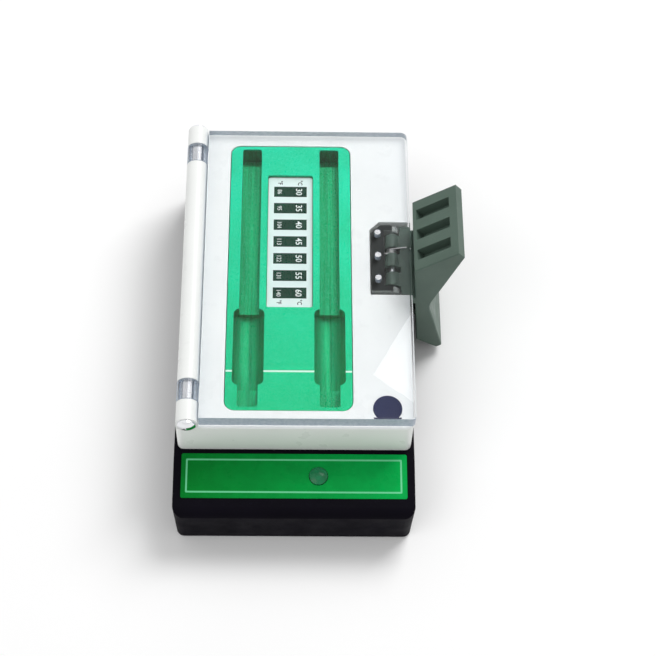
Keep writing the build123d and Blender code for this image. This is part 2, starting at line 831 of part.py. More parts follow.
# Insulation between the heater and the base's roof
with BuildPart() as insulation_pad:
    with BuildSketch(Plane.XY.offset(base_top)):
        with Locations((block_x, block_y)):
            RectangleRounded(heater_width, heater_length, channel_corner)
        with Locations((block_x, sensor_y)):
            Circle(sensor_flange_radius + clearance_fit, mode=Mode.SUBTRACT)
        with Locations((block_x, fuse_y)):
            fuse_slot = fuse_length + 2 * (fuse_lead_length + fuse_gap)
            Rectangle(fuse_slot, 2 * (fuse_radius + fuse_gap), mode=Mode.SUBTRACT)
        with Locations((block_x, heater_lead_y)):
            lead_slot = lead_spacing + 2 * (lead_radius + lead_slot_gap)
            Rectangle(lead_slot, 2 * (lead_radius + lead_slot_gap), mode=Mode.SUBTRACT)
    extrude(amount=heater_bottom - base_top)
insulation_pad.part.label = "insulation_pad"
export_step(insulation_pad.part, "parts/insulation_pad.step")

# Temperature sensor, pushed up into the block
with BuildPart() as temperature_sensor:
    with BuildSketch(Plane.XY.offset(block_bottom)):
        with Locations((block_x, sensor_y)):
            Circle(sensor_radius)
    extrude(amount=sensor_length - sensor_fit)
    chamfer(temperature_sensor.edges().group_by(Axis.Z)[-1], sensor_radius / 2)
    with BuildSketch(Plane.XY.offset(block_bottom)):
        with Locations((block_x, sensor_y)):
            Circle(sensor_flange_radius)
    extrude(amount=-sensor_flange_thickness)
temperature_sensor.part.label = "temperature_sensor"
export_step(temperature_sensor.part, "parts/temperature_sensor.step")

# Thermal fuse against the heater's underside, with its two stiff leads
fuse_plane = Plane(origin=(block_x, fuse_y, heater_bottom - fuse_radius), z_dir=(1, 0, 0))
with BuildPart() as thermal_fuse:
    with BuildSketch(fuse_plane):
        Circle(fuse_radius)
    extrude(amount=fuse_length / 2, both=True)
    chamfer(thermal_fuse.edges().filter_by(GeomType.CIRCLE), fuse_radius / 3)
    with BuildSketch(fuse_plane):
        Circle(fuse_lead_radius)
    extrude(amount=fuse_length / 2 + fuse_lead_length, both=True)
thermal_fuse.part.label = "thermal_fuse"
export_step(thermal_fuse.part, "parts/thermal_fuse.step")

# Main board on the plate's bosses
with BuildPart() as circuit_board:
    with BuildSketch(Plane.XY.offset(board_bottom)):
        with Locations((0, main_board_y)):
            RectangleRounded(main_board_width, main_board_depth, channel_corner)
        with Locations(*board_holes):
            Circle(medium_screw_radius + clearance_fit, mode=Mode.SUBTRACT)
    extrude(amount=board_thickness)
circuit_board.part.label = "circuit_board"
export_step(circuit_board.part, "parts/circuit_board.step")

# Screws of the main board, driven down into the bosses
board_screw = Rot(X=180) * screw(medium_screw_radius, board_screw_length)
with BuildPart() as board_screws:
    with Locations(*[(x, y, board_top) for x, y in board_holes]):
        add(board_screw)
board_screws.part.label = "board_screws"
export_step(board_screws.part, "parts/board_screws.step")

# Connectors on the main board: inlet, heater, sensor, panel and two for the fuse
connector_z = board_top + connector_height / 2
inlet_connector_y = board_back - connector_edge - connector_depth / 2
front_connector_y = board_front + connector_edge + connector_depth / 2
fuse_lead_x = fuse_length / 2 + fuse_lead_length - lead_radius
connectors_at = [
    (inlet_x, inlet_connector_y),
    (block_x, front_connector_y),
    (panel_connector_x, front_connector_y),
    (block_x, sensor_connector_y),
    (block_x - fuse_lead_x, fuse_connector_y),
    (block_x + fuse_lead_x, fuse_connector_y),
]
with BuildPart() as board_connectors:
    with BuildSketch(Plane.XY.offset(board_top)):
        with Locations(*connectors_at):
            Rectangle(connector_width, connector_depth)
    extrude(amount=connector_height)
board_connectors.part.label = "board_connectors"
export_step(board_connectors.part, "parts/board_connectors.step")

# Processor and smoothing capacitor
with BuildPart() as board_components:
    with BuildSketch(Plane.XY.offset(board_top)):
        with Locations((board_left + processor_inset, chip_row_y)):
            Rectangle(processor_side, processor_side)
    extrude(amount=processor_height)
    with BuildSketch(Plane.XY.offset(board_top)):
        with Locations((board_left + capacitor_inset, main_board_y + capacitor_offset_y)):
            Circle(capacitor_radius)
    extrude(amount=capacitor_height)
board_components.part.label = "board_components"
export_step(board_components.part, "parts/board_components.step")

# Buzzer with its sound port
with BuildPart() as buzzer:
    with BuildSketch(Plane.XY.offset(board_top)):
        with Locations((-board_left - buzzer_inset, chip_row_y)):
            Circle(buzzer_radius)
    extrude(amount=buzzer_height)
    with BuildSketch(Plane.XY.offset(board_top + buzzer_height)):
        with Locations((-board_left - buzzer_inset, chip_row_y)):
            Circle(buzzer_port_radius)
    extrude(amount=-buzzer_port_depth, mode=Mode.SUBTRACT)
buzzer.part.label = "buzzer"
export_step(buzzer.part, "parts/buzzer.step")

# Low-voltage inlet, its flange let into the rear wall
inlet_back = inlet_wall - inlet_body_length
with BuildPart() as dc_inlet:
    with BuildSketch(front_plane(inlet_wall, inlet_x, inlet_z)):
        Circle(inlet_flange_radius)
    extrude(amount=-inlet_flange_thickness)
    with BuildSketch(front_plane(inlet_wall, inlet_x, inlet_z)):
        Circle(inlet_body_radius)
    extrude(amount=inlet_body_length)
    with BuildSketch(front_plane(inlet_wall + inlet_flange_thickness, inlet_x, inlet_z)):
        Circle(inlet_bore_radius)
    extrude(amount=inlet_bore_depth, mode=Mode.SUBTRACT)
dc_inlet.part.label = "dc_inlet"
export_step(dc_inlet.part, "parts/dc_inlet.step")

# Nut that clamps the inlet from inside
nut_drop = base_top - base_wall - inlet_z + inlet_nut_width / sqrt(3)
nut_face = base_half_depth - base_wall - nut_drop * tan(radians(base_draft)) - press_fit
with BuildPart() as inlet_nut:
    with BuildSketch(front_plane(nut_face, inlet_x, inlet_z)):
        RegularPolygon(inlet_nut_width / 2, 6, major_radius=False)
        Circle(inlet_body_radius + screw_fit, mode=Mode.SUBTRACT)
    extrude(amount=inlet_nut_thickness)
inlet_nut.part.label = "inlet_nut"
export_step(inlet_nut.part, "parts/inlet_nut.step")

# Leads from the inlet to the board
connector_back = inlet_connector_y + connector_depth / 2
lead_step = (inlet_back - connector_back) / 5
sag_z = inlet_z - lead_sag
pair = (-lead_spacing / 2, lead_spacing / 2)
inlet_pair = [
    lead([
        (inlet_x + offset, inlet_back, inlet_z),
        (inlet_x + offset, inlet_back - lead_step, inlet_z),
        (inlet_x + offset, inlet_back - 2 * lead_step, sag_z),
        (inlet_x + offset, connector_back + 2 * lead_step, sag_z),
        (inlet_x + offset, connector_back + lead_step, connector_z),
        (inlet_x + offset, connector_back, connector_z),
    ])
    for offset in pair
]
with BuildPart() as inlet_leads:
    add(inlet_pair)
inlet_leads.part.label = "inlet_leads"
export_step(inlet_leads.part, "parts/inlet_leads.step")

# Leads from the heater, down through the base's roof
heater_pair = [
    lead([
        (block_x + offset, heater_lead_y, heater_bottom),
        (block_x + offset, heater_lead_y, connector_z),
        (block_x + offset, front_connector_y - connector_depth / 2, connector_z),
    ])
    for offset in pair
]
with BuildPart() as heater_leads:
    add(heater_pair)
heater_leads.part.label = "heater_leads"
export_step(heater_leads.part, "parts/heater_leads.step")

# Leads from the temperature sensor
sensor_pair = [
    lead([
        (block_x + offset, sensor_y, block_bottom - sensor_flange_thickness),
        (block_x + offset, sensor_y, connector_z),
        (block_x + offset, sensor_connector_y - connector_depth / 2, connector_z),
    ])
    for offset in pair
]
with BuildPart() as sensor_leads:
    add(sensor_pair)
sensor_leads.part.label = "sensor_leads"
export_step(sensor_leads.part, "parts/sensor_leads.step")

# Leads from the ends of the thermal fuse
fuse_pair = [
    lead([
        (block_x + offset, fuse_y, heater_bottom - fuse_radius - fuse_lead_radius),
        (block_x + offset, fuse_y, connector_z),
        (block_x + offset, fuse_connector_y + connector_depth / 2, connector_z),
    ])
    for offset in (-fuse_lead_x, fuse_lead_x)
]
with BuildPart() as fuse_leads:
    add(fuse_pair)
fuse_leads.part.label = "fuse_leads"
export_step(fuse_leads.part, "parts/fuse_leads.step")

# Leads from the panel board to the main board
panel_back = panel_screw_plane.from_local_coords((panel_connector_x - button_x, lead_sag, 0))
panel_pair = [
    lead([
        (panel_connector_x + offset, panel_back.Y, panel_back.Z - screw_fit * 2),
        (panel_connector_x + offset, panel_back.Y, sag_z),
        (panel_connector_x + offset, front_connector_y - 3 * lead_sag, sag_z),
        (panel_connector_x + offset, front_connector_y - 2 * lead_sag, connector_z),
        (panel_connector_x + offset, front_connector_y - connector_depth / 2, connector_z),
    ])
    for offset in pair
]
with BuildPart() as panel_leads:
    add(panel_pair)
panel_leads.part.label = "panel_leads"
export_step(panel_leads.part, "parts/panel_leads.step")

# Hinge pin through all barrels, with a domed cap on each end
with BuildPart() as hinge_pin:
    with BuildSketch(front_plane(upper_front - cap_grip, hinge_x, hinge_z)):
        Circle(hinge_pin_radius)
    extrude(amount=-upper_depth - 2 * cap_grip)
hinge_pin.part.label = "hinge_pin"
export_step(hinge_pin.part, "parts/hinge_pin.step")

cap_rim = cap_height - cap_grip
with BuildPart() as cap_form:
    with BuildSketch(Plane.XZ):
        with BuildLine():
            Polyline((0, cap_height), (0, 0), (cap_radius, 0), (cap_radius, cap_rim))
            dome_rise = cap_height - cap_rim
            dome_size = (cap_radius**2 + dome_rise**2) / (2 * dome_rise)
            dome_half = atan2(cap_radius, dome_size - dome_rise) / 2
            ThreePointArc(
                (cap_radius, cap_rim),
                (dome_size * sin(dome_half), cap_height - dome_size * (1 - cos(dome_half))),
                (0, cap_height),
            )
        make_face()
    revolve(axis=Axis.Z)
    with BuildSketch(Plane.XY):
        Circle(hinge_pin_radius + press_fit)
    extrude(amount=cap_grip + press_fit, mode=Mode.SUBTRACT)

front_cap_plane = Plane(origin=(hinge_x, upper_front, hinge_z), z_dir=(0, -1, 0))
back_cap_plane = Plane(origin=(hinge_x, upper_back, hinge_z), z_dir=(0, 1, 0))
with BuildPart() as hinge_caps:
    with Locations(front_cap_plane, back_cap_plane):
        add(cap_form.part)
hinge_caps.part.label = "hinge_caps"
export_step(hinge_caps.part, "parts/hinge_caps.step")

# Clear lid with its two hinge knuckles
lid_width = lid_right - lid_left
lid_x = (lid_left + lid_right) / 2
lid_y = (lid_front + lid_back) / 2
lid_knuckle_length = knuckle_length - 2 * knuckle_side_gap
bracket_screw_x = latch_pin_x - (bracket_left + bracket_plate_right) / 2
bracket_screws_at = [
    (bracket_screw_x, latch_y + (place - (bracket_screw_count - 1) / 2) * bracket_screw_spacing)
    for place in range(bracket_screw_count)
]

with BuildPart() as lid:
    with BuildSketch(Plane.XY.offset(lid_bottom)):
        with Locations((lid_x, lid_y)):
            Rectangle(lid_width, lid_depth)
        back_right = vertices().sort_by_distance((lid_right, lid_back))[0]
        fillet(back_right, lid_back_corner)
        front_right = vertices().sort_by_distance((lid_right, lid_front))[0]
        fillet(front_right, lid_front_corner)
    extrude(amount=lid_thickness)
    chamfer(lid.faces().sort_by(Axis.Z)[-1].edges(), lid_edge_break)
    for knuckle_mid in knuckle_mids:
        with BuildSketch(front_plane(knuckle_mid - lid_knuckle_length / 2, hinge_x, hinge_z)):
            Circle(barrel_radius)
            with Locations(((lid_left - hinge_x + lid_edge_break) / 2, (lid_bottom - hinge_z) / 2)):
                Rectangle(lid_left - hinge_x + lid_edge_break, hinge_z - lid_bottom)
        extrude(amount=-lid_knuckle_length)
    with BuildSketch(front_plane(lid_front, hinge_x, hinge_z)):
        Circle(hinge_pin_radius + running_fit)
    extrude(amount=-lid_depth, mode=Mode.SUBTRACT)
    with BuildSketch(Plane.XY.offset(lid_bottom)):
        with Locations(*bracket_screws_at):
            Circle(medium_screw_radius + screw_fit)
    extrude(amount=bracket_screw_bite + clearance_fit, mode=Mode.SUBTRACT)
lid.part.label = "lid"
export_step(lid.part, "parts/lid.step")

# Rubber bumper for the lid, set in the upper housing
with BuildPart() as lid_bumper:
    with BuildSketch(Plane.XY.offset(upper_top - bumper_depth)):
        with Locations((bumper_x, bumper_y)):
            Circle(bumper_radius)
    extrude(amount=bumper_depth + lid_gap - bumper_lid_gap)
    chamfer(lid_bumper.edges().group_by(Axis.Z)[-1], bumper_lid_gap)
lid_bumper.part.label = "lid_bumper"
export_step(lid_bumper.part, "parts/lid_bumper.step")

# Bracket screwed under the lid, its two ears holding the latch pin
bracket_front = latch_y - bracket_width / 2
bracket_back = latch_y + bracket_width / 2
plate_left = latch_pin_x - bracket_left
plate_right = latch_pin_x - bracket_plate_right
ear_reach = bracket_left - bracket_chamfer
with BuildPart() as latch_bracket:
    with BuildSketch(Plane.XY.offset(lid_bottom)):
        with Locations(((plate_left + plate_right) / 2, latch_y)):
            Rectangle(plate_right - plate_left, bracket_width)
        back_left = vertices().sort_by_distance((plate_left, bracket_back))[0]
        chamfer(back_left, bracket_chamfer)
    extrude(amount=-bracket_thickness)
    for ear_front in (bracket_front, bracket_back - bracket_ear):
        with BuildSketch(front_plane(ear_front, latch_pin_x, latch_pin_z)):
            Circle(hub_radius)
            with Locations((-ear_reach / 2, lid_bottom - latch_pin_z - ear_drop / 2)):
                Rectangle(ear_reach, ear_drop)
        extrude(amount=-bracket_ear)
    with BuildSketch(front_plane(bracket_front, latch_pin_x, latch_pin_z)):
        Circle(latch_pin_radius + press_fit)
    extrude(amount=-bracket_width, mode=Mode.SUBTRACT)
    with BuildSketch(Plane.XY.offset(lid_bottom)):
        with Locations(*bracket_screws_at):
            Circle(medium_screw_radius + clearance_fit)
    extrude(amount=-bracket_thickness, mode=Mode.SUBTRACT)
latch_bracket.part.label = "latch_bracket"
export_step(latch_bracket.part, "parts/latch_bracket.step")

# Screws of the bracket, driven up into the lid
latch_screw = screw(medium_screw_radius, bracket_thickness + bracket_screw_bite)
with BuildPart() as latch_screws:
    with Locations(*[(x, y, lid_bottom - bracket_thickness) for x, y in bracket_screws_at]):
        add(latch_screw)
latch_screws.part.label = "latch_screws"
export_step(latch_screws.part, "parts/latch_screws.step")

# Latch pin
latch_pin_overhang = clearance_fit * 2
with BuildPart() as latch_pin:
    with BuildSketch(front_plane(bracket_front - latch_pin_overhang, latch_pin_x, latch_pin_z)):
        Circle(latch_pin_radius)
    extrude(amount=-bracket_width - 2 * latch_pin_overhang)
latch_pin.part.label = "latch_pin"
export_step(latch_pin.part, "parts/latch_pin.step")

# Latch lever: thumb wedge with three grip slots, hub, foot and nose
thumb = radians(thumb_angle)
thumb_inner = (latch_face + thumb_length * cos(thumb), thumb_low + thumb_length * sin(thumb))
thumb_outer = (
    thumb_inner[0] + thumb_thickness * sin(thumb),
    thumb_inner[1] - thumb_thickness * cos(thumb),
)
lever_front = latch_y - latch_width / 2
hub_front = bracket_front + bracket_ear + hub_end_gap
hub_back = bracket_back - bracket_ear - hub_end_gap
hub_part = (hub_back - hub_front - 2 * hub_slot) / 3
arm_left = hub_radius + arm_clearance
grip_mid = grip_start + grip_length / 2
thumb_plane_origin = front_plane(latch_y, latch_pin_x, latch_pin_z, latch_lean).from_local_coords(
    (latch_face + grip_mid * cos(thumb), thumb_low + grip_mid * sin(thumb), 0)
)
lean_total = radians(latch_lean) + thumb
thumb_plane = Plane(
    origin=thumb_plane_origin,
    x_dir=(cos(lean_total), 0, sin(lean_total)),
    z_dir=(-sin(lean_total), 0, cos(lean_total)),
)
grip_ys = [(place - (grip_count - 1) / 2) * grip_pitch for place in range(grip_count)]

with BuildPart() as latch_lever:
    with BuildSketch(front_plane(lever_front, latch_pin_x, latch_pin_z, latch_lean)):
        with BuildLine():
            Polyline(
                (latch_face, thumb_low),
                thumb_inner,
                thumb_outer,
                (neck_outer, neck_height),
                (foot_outer, foot_tip_height),
                (foot_toe_outer, foot_toe_height),
                (latch_face, foot_inner_height),
                close=True,
            )
        make_face()
        neck = vertices().sort_by_distance((neck_outer, neck_height))[0]
        fillet(neck, neck_blend)
        tip = vertices().sort_by_distance((foot_outer, foot_tip_height))[0]
        toe = vertices().sort_by_distance((foot_toe_outer, foot_toe_height))[0]
        fillet([tip, toe], foot_round / 2)
        with Locations(((arm_left + latch_face) / 2, (arm_top - hub_radius) / 2)):
            Rectangle(latch_face - arm_left, arm_top + hub_radius)
    extrude(amount=-latch_width)
    side_faces = latch_lever.faces().filter_by(Axis.Y).sort_by(Axis.Y)
    chamfer(side_faces[0].edges() + side_faces[-1].edges(), lever_edge_break)
    with Locations(thumb_plane):
        with Locations(*[(0, y) for y in grip_ys]):
            Box(grip_length, grip_width, 2 * grip_depth, mode=Mode.SUBTRACT)
    for place in range(3):
        part_front = hub_front + place * (hub_part + hub_slot)
        with BuildSketch(front_plane(part_front, latch_pin_x, latch_pin_z, latch_lean)):
            Circle(hub_radius)
            with Locations((arm_left / 2, (arm_top - hub_radius) / 2)):
                Rectangle(arm_left, arm_top + hub_radius)
        extrude(amount=-hub_part)
    with BuildSketch(front_plane(lever_front, latch_pin_x, latch_pin_z)):
        Circle(latch_pin_radius + running_fit)
    extrude(amount=-latch_width, mode=Mode.SUBTRACT)
    with BuildSketch(front_plane(latch_y, latch_pin_x, latch_pin_z, latch_lean)):
        with BuildLine():
            Polyline(
                (latch_face, nose_height),
                (latch_face - nose_reach, nose_height),
                (latch_face, nose_height - nose_ramp),
                close=True,
            )
        make_face()
    extrude(amount=nose_width / 2, both=True)
latch_lever.part.label = "latch_lever"
export_step(latch_lever.part, "parts/latch_lever.step")

# Torsion spring round the pin, in the rear slot of the hub
coil_radius = latch_pin_radius + spring_fit + spring_wire
leg_distance = sqrt(spring_leg_reach**2 + spring_leg_rise**2)
leg_length = sqrt(leg_distance**2 - coil_radius**2)
leg_angle = degrees(atan2(spring_leg_rise, spring_leg_reach) + atan2(leg_length, coil_radius))
coil_height = spring_turns * spring_pitch
slot_mid = hub_back - hub_part - hub_slot / 2
spring_plane = front_plane(slot_mid + coil_height / 2, latch_pin_x, latch_pin_z, leg_angle)
anchor_length = bracket_plate_right - spring_wire
with BuildPart() as spring_form:
    with BuildLine() as coil:
        Helix(spring_pitch, coil_height, coil_radius)
    with BuildSketch(Plane(origin=coil.line @ 0, z_dir=coil.line % 0)):
        RegularPolygon(spring_wire, wire_sides)
    sweep(is_frenet=True)
    with BuildSketch(Plane(origin=coil.line @ 0, z_dir=coil.line % 0)):
        RegularPolygon(spring_wire, wire_sides)
    extrude(amount=-leg_length)
    with BuildSketch(Plane(origin=coil.line @ 1, z_dir=coil.line % 1)):
        RegularPolygon(spring_wire, wire_sides)
    extrude(amount=anchor_length)
with BuildPart() as latch_spring:
    with Locations(spring_plane):
        add(spring_form.part)
latch_spring.part.label = "latch_spring"
export_step(latch_spring.part, "parts/latch_spring.step")
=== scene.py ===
from math import cos, pi, radians, sin

import bmesh
import bpy
from mathutils import Matrix, Vector


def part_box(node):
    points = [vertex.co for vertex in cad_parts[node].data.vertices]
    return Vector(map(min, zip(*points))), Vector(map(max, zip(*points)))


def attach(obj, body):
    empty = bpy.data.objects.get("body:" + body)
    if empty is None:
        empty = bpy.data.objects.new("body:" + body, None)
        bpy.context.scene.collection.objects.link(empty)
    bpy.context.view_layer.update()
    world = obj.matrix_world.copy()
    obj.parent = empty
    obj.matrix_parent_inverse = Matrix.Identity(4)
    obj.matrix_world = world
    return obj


# Looks of a small bench incubator: finishes for the CAD pieces, the printed
# numbers and line, the inlet's contact, a camera and a white room.
# Metres, in the frame of the CAD pieces: +X right, +Y back, +Z up.

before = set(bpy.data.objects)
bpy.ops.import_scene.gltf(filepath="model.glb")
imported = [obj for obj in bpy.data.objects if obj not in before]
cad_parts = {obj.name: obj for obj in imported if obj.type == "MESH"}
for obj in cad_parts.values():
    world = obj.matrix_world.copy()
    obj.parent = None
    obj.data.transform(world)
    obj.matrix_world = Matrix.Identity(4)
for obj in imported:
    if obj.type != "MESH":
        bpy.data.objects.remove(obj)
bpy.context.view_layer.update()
MM = 0.001

# Camera, matched to the photograph's edges
PHOTO_WIDTH = 656
FOCAL_PIXELS = 1683.8
SENSOR_WIDTH = 36.0
EYE = (-0.0013, -0.3517, 0.635)
PITCH = radians(60.0)
YAW = radians(2.443)
ROLL = radians(2.565)

# Thermometer scale
SCALE_ROWS = 7
FIRST_CELSIUS = 30
CELSIUS_STEP = 5
WINDOW_LENGTH = 5.2 * MM
CELSIUS_X = 3.5 * MM
FAHRENHEIT_X = -4.6 * MM
CELSIUS_SIZE = 3.7 * MM
SMALL_SIZE = 2.7 * MM
CELSIUS_UNIT_X = 4.0 * MM
FAHRENHEIT_UNIT_X = -4.4 * MM
BACK_UNIT_Y = 29.6 * MM
FRONT_UNIT_Y = -29.4 * MM
INK_HEIGHT = 0.01 * MM
INK_LIFT = 0.011 * MM

# Line around the label
LINE_HALF_X = 43.1 * MM
LINE_HALF_Y = 7.1 * MM
LINE_WIDTH = 0.7 * MM
LINE_OUTER_RADIUS = 0.5 * MM
LINE_INNER_RADIUS = 0.3 * MM
LINE_HEIGHT = 0.02 * MM
LINE_SHIFT_X = -0.1 * MM

# Contact pin in the inlet, as radius and depth from the inlet's mouth
CONTACT_PROFILE = (
    (0.0, 9.5), (2.2, 9.5), (2.2, 9.2), (1.0, 9.2), (1.0, 2.2), (0.8, 1.7), (0.45, 1.4), (0.0, 1.3),
)
CONTACT_SIDES = 24

# Room
WORLD_LEVEL = 0.5
SHOWN_LEVEL = 1.0
LAMPS = (
    ("key", (0.7, 0.9, 1.5), 0.9, 21.0),
    ("fill", (-0.8, -0.7, 1.2), 1.0, 4.5),
)
LAMP_TARGET = Vector((0.0, 0.0, 0.03))
FLOOR_HALF = 3.0
FLOOR_DROP = 0.1 * MM


def camera():
    """Camera at the photograph's place and angle."""
    look = Vector((sin(YAW) * cos(PITCH), cos(YAW) * cos(PITCH), -sin(PITCH)))
    side = Vector((cos(YAW), -sin(YAW), 0.0))
    up = side.cross(look)
    right = cos(ROLL) * side + sin(ROLL) * up
    top = -sin(ROLL) * side + cos(ROLL) * up
    data = bpy.data.cameras.new("view")
    data.sensor_width = SENSOR_WIDTH
    data.lens = FOCAL_PIXELS / PHOTO_WIDTH * SENSOR_WIDTH
    data.clip_start = 0.01
    data.clip_end = 20.0
    eye = bpy.data.objects.new("view", data)
    turn = Matrix((right, top, -look)).transposed().to_4x4()
    eye.matrix_world = Matrix.Translation(EYE) @ turn
    bpy.context.scene.collection.objects.link(eye)
    bpy.context.scene.camera = eye


class Shade:
    """A material with one Principled shader, and short calls for its nodes."""

    def __init__(self, name):
        self.mat = bpy.data.materials.new(name)
        self.mat.use_nodes = True
        self.tree = self.mat.node_tree
        self.tree.nodes.clear()
        self.out = self.node("OutputMaterial")
        self.bsdf = self.node("BsdfPrincipled")
        self.link(self.bsdf.outputs[0], self.out.inputs["Surface"])
        self.coords = self.node("TexCoord").outputs["Object"]

    def node(self, kind, **values):
        made = self.tree.nodes.new("ShaderNode" + kind)
        for key, value in values.items():
            made.inputs[key.replace("_", " ")].default_value = value
        return made

    def link(self, a, b):
        self.tree.links.new(a, b)

    def set(self, **values):
        for key, value in values.items():
            self.bsdf.inputs[key.replace("_", " ")].default_value = value
        return self

    def axes(self, vector):
        split = self.node("SeparateXYZ")
        self.link(vector, split.inputs[0])
        return split.outputs

    def noise(self, scale, detail=3.0, rough=0.5, stretch=None):
        made = self.node("TexNoise", Scale=scale, Detail=detail, Roughness=rough)
        source = self.coords
        if stretch:
            mapping = self.node("Mapping", Scale=stretch)
            self.link(source, mapping.inputs["Vector"])
            source = mapping.outputs[0]
        self.link(source, made.inputs["Vector"])
        return made.outputs["Fac"]

    def cell_edges(self, scale):
        made = self.node("TexVoronoi", Scale=scale)
        made.feature = "DISTANCE_TO_EDGE"
        self.link(self.coords, made.inputs["Vector"])
        return made.outputs["Distance"]

    def ramp(self, fac, low, high, start=0.3, end=0.7):
        """Colour that goes from low at start to high at end."""
        made = self.node("ValToRGB")
        for stop, place, color in zip(made.color_ramp.elements, (start, end), (low, high)):
            stop.position = place
            stop.color = (*color, 1.0)
        self.link(fac, made.inputs[0])
        return made.outputs[0]

    def span(self, fac, low, high, start=0.3, end=0.7):
        """Number that goes from low at start to high at end."""
        made = self.node("MapRange", From_Min=start, From_Max=end, To_Min=low, To_Max=high)
        self.link(fac, made.inputs[0])
        return made.outputs[0]

    def mix(self, fac, a, b, blend="MIX"):
        made = self.node("Mix")
        made.data_type = "RGBA"
        made.blend_type = blend
        fac_socket, a_socket, b_socket = made.inputs[0], made.inputs[6], made.inputs[7]
        for value, socket in ((fac, fac_socket), (a, a_socket), (b, b_socket)):
            if isinstance(value, float):
                socket.default_value = value
            elif isinstance(value, tuple):
                socket.default_value = (*value, 1.0)
            else:
                self.link(value, socket)
        return made.outputs[2]

    def color(self, socket):
        self.link(socket, self.bsdf.inputs["Base Color"])
        return self

    def rough(self, socket):
        self.link(socket, self.bsdf.inputs["Roughness"])
        return self

    def bump(self, height, depth):
        made = self.node("Bump", Strength=1.0, Distance=depth)
        self.link(height, made.inputs["Height"])
        self.link(made.outputs[0], self.bsdf.inputs["Normal"])
        return self


def srgb(*color):
    """Linear colour from three screen values of 0 to 255."""
    def linear(value):
        value = value / 255
        return value / 12.92 if value <= 0.04045 else ((value + 0.055) / 1.055) ** 2.4
    return tuple(linear(value) for value in color)


def grey(level):
    return (level, level, level)


def around(color, amount):
    """A darker and a lighter colour, by the same share."""
    dark = tuple(value * (1 - amount) for value in color)
    light = tuple(min(1.0, value * (1 + amount)) for value in color)
    return dark, light


# Materials


def plastic(name, color, rough=(0.35, 0.5), grain=900.0, depth=0.02, vary=0.05, shine=0.2):
    """Moulded plastic: faint cloudy colour, satin patches and a fine grain of depth mm."""
    s = Shade(name).set(Specular_IOR_Level=shine)
    s.color(s.ramp(s.noise(60.0, 4.0), *around(color, vary)))
    s.rough(s.span(s.noise(140.0, 3.0), *rough))
    return s.bump(s.noise(grain, 2.0), depth * MM).mat


def metal(name, color, rough, scale=40.0, stretch=(1.0, 1.0, 1.0), depth=0.006):
    """Ground or turned metal, with fine lines where stretch is uneven."""
    s = Shade(name).set(Metallic=1.0)
    lines = s.noise(scale, 3.0, stretch=stretch)
    s.color(s.ramp(lines, *around(color, 0.06)))
    s.rough(s.span(lines, *rough))
    return s.bump(lines, depth * MM).mat


def anodised():
    """Green anodised aluminium: painted glints, a painted reflection towards the back, painted shade on
    milled floors with lengthwise lines.
    """
    s = Shade("anodised_green").set(Metallic=0.6, Specular_IOR_Level=0.15)
    _, y, z = s.axes(s.coords)
    # Painted reflection: the face turns lighter and bluer towards the back, standing in for glare.
    painted_glare_to_back = s.span(y, 0.0, 1.0, -0.05, 0.08)
    face = s.mix(painted_glare_to_back, srgb(2, 186, 124), srgb(6, 208, 164))
    face = s.mix(s.span(s.noise(60.0, 4.0), 0.0, 0.45), face, srgb(0, 168, 112))
    # Painted shade: everything more than about a millimetre below the top face, such as channel and well
    # floors, is darker; the lengthwise milling lines on it are real texture.
    milled = s.noise(18.0, 3.0, 0.6, stretch=(60.0, 1.0, 6.0))
    floor = s.mix(s.span(milled, 0.0, 1.0), srgb(0, 132, 78), srgb(8, 178, 112))
    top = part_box("heating_block")[1].z
    at_top = s.span(z, 0.0, 1.0, top - 1.2 * MM, top - 0.4 * MM)
    body = s.mix(at_top, floor, face)
    # Painted glints: fine lighter specks in the base colour.
    painted_glints = s.ramp(s.noise(2400.0, 2.0, 0.7), grey(0.0), grey(1.0), 0.52, 0.74)
    s.color(s.mix(s.span(painted_glints, 0.0, 0.45, 0.0, 1.0), body, srgb(110, 240, 205)))
    s.rough(s.span(s.noise(1500.0, 2.0), 0.38, 0.58))
    return s.bump(s.noise(3000.0, 2.0), 0.02 * MM).mat


def clear_acrylic():
    """Polished acrylic that lets part of the lamps' light straight through; its edges are rough from
    sanding, and their blue-grey colour is a painted refraction band.
    """
    s = Shade("clear_acrylic").set(Transmission_Weight=1.0, IOR=1.49)
    s.set(Specular_Tint=(*grey(0.3), 1.0))
    upright = s.node("Math")
    upright.operation = "ABSOLUTE"
    s.link(s.axes(s.node("TexCoord").outputs["Normal"])[2], upright.inputs[0])
    edge = s.span(upright.outputs[0], 1.0, 0.0, 0.35, 0.6)
    clear = s.ramp(s.noise(30.0, 2.0), (0.95, 0.955, 0.965), (0.965, 0.97, 0.975))
    # Painted refraction band: the blue-grey colour of the edge faces; their roughness is real sanding.
    sanded_and_painted_band = s.ramp(s.noise(700.0, 3.0), srgb(178, 192, 208), srgb(204, 214, 226))
    s.color(s.mix(edge, clear, sanded_and_painted_band))
    s.rough(s.span(edge, 0.0, 0.35, 0.0, 1.0))
    s.link(s.span(edge, 1.0, 0.25, 0.0, 1.0), s.bsdf.inputs["Transmission Weight"])
    open_way = s.node("BsdfTransparent", Color=(0.45, 0.455, 0.465, 1.0))
    either = s.node("MixShader")
    s.link(s.node("LightPath").outputs["Is Shadow Ray"], either.inputs[0])
    s.link(s.bsdf.outputs[0], either.inputs[1])
    s.link(open_way.outputs[0], either.inputs[2])
    s.link(either.outputs[0], s.out.inputs["Surface"])
    return s.mat


def button_lens():
    """Translucent green dome with a slightly frosted face."""
    s = Shade("button_lens").set(Transmission_Weight=0.25, IOR=1.45, Specular_IOR_Level=0.3)
    s.color(s.ramp(s.noise(300.0, 3.0), srgb(0, 112, 62), srgb(16, 146, 92)))
    s.rough(s.span(s.noise(500.0, 2.0), 0.12, 0.3))
    return s.bump(s.noise(900.0, 2.0), 0.01 * MM).mat


